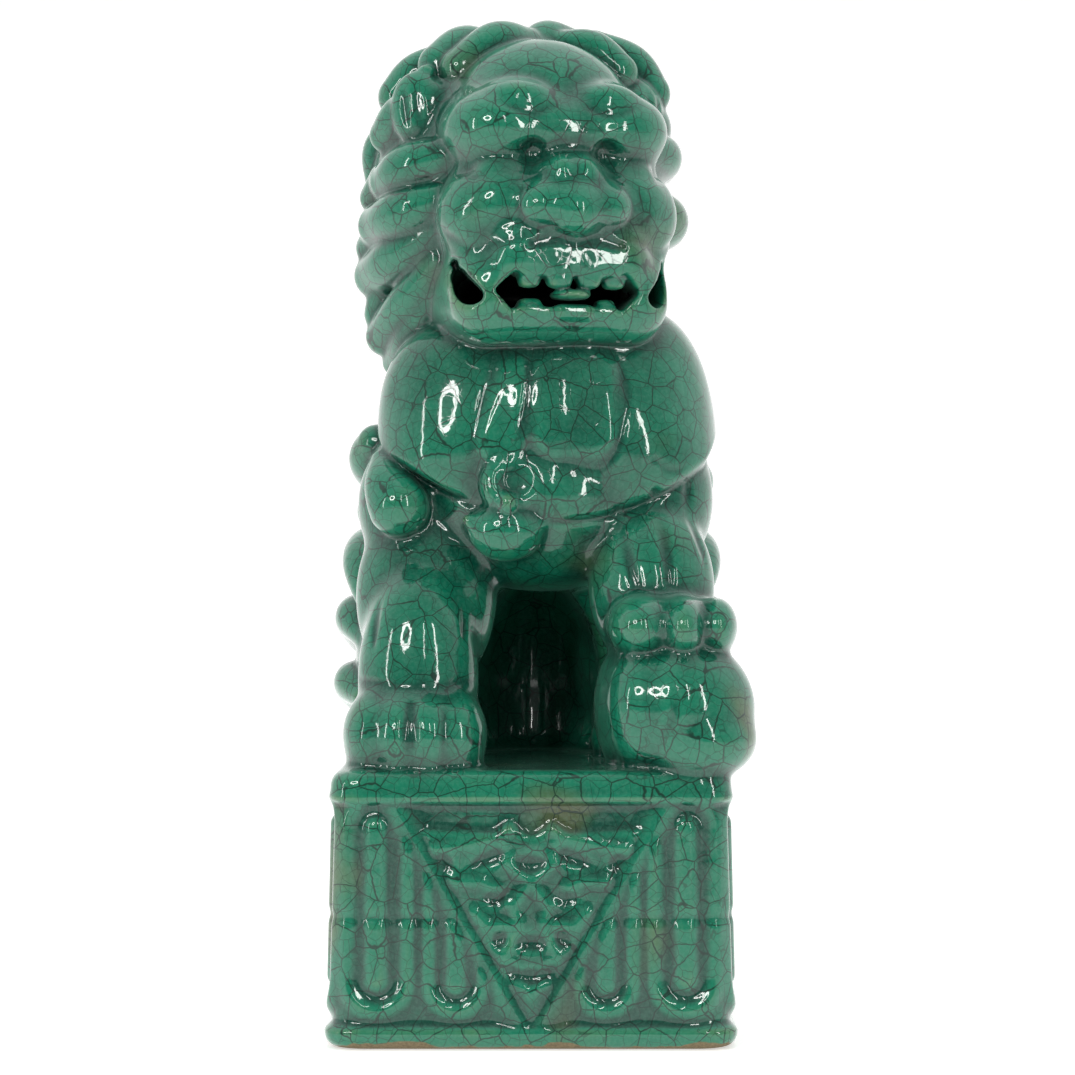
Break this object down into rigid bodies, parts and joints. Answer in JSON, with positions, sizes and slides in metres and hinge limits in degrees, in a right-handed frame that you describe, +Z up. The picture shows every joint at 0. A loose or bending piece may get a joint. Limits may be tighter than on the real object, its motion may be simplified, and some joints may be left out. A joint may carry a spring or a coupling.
{
  "type": "foo dog statue",
  "caption": "Seated guardian lion figure in crackled green glaze on a hollow relief-moulded plinth, one forepaw on a ball.",
  "frame": {"origin": "middle of the plinth's foot, on the surface it stands on", "axes": "+Z up, the figure faces -Y, +X towards the animal's left side, where the ball is"},
  "size_m": [0.137, 0.1785, 0.3288],
  "materials": {
    "body_glaze": "emerald crackle glaze over stoneware, glossy",
    "hair_glaze": "emerald crackle glaze, thinner and olive on raised edges, glossy",
    "ornament_glaze": "emerald crackle glaze, olive patches where thin, glossy",
    "mouth_glaze": "emerald crackle glaze, glossy",
    "plinth_glaze": "emerald crackle glaze pooled in the relief, unglazed buff foot, glossy"
  },
  "bodies": {
    "root": {"back_shell": "body_glaze", "ball": "ornament_glaze", "ball_ribbon": "ornament_glaze", "bell": "ornament_glaze", "chest_bib": "ornament_glaze", "chest_shell": "body_glaze", "collar": "ornament_glaze", "crown_locks": "hair_glaze", "face_shell": "body_glaze", "left_ear": "hair_glaze", "left_foreleg": "body_glaze", "left_forepaw": "body_glaze", "left_haunch": "body_glaze", "left_haunch_curls": "hair_glaze", "left_hind_paw": "body_glaze", "left_mane_locks": "hair_glaze", "left_shoulder_tuft": "hair_glaze", "lower_jaw": "mouth_glaze", "lower_teeth": "mouth_glaze", "mane_cap": "hair_glaze", "nape_locks": "hair_glaze", "plinth_back_wall": "plinth_glaze", "plinth_deck": "plinth_glaze", "plinth_front_wall": "plinth_glaze", "plinth_left_wall": "plinth_glaze", "plinth_right_wall": "plinth_glaze", "ribbon_knot": "ornament_glaze", "right_ear": "hair_glaze", "right_foreleg": "body_glaze", "right_forepaw": "body_glaze", "right_haunch": "body_glaze", "right_haunch_curls": "hair_glaze", "right_hind_paw": "body_glaze", "right_mane_locks": "hair_glaze", "right_shoulder_tuft": "hair_glaze", "spine_curls": "hair_glaze", "tail": "hair_glaze", "tongue": "mouth_glaze", "upper_teeth": "mouth_glaze"}
  },
  "joints": []
}
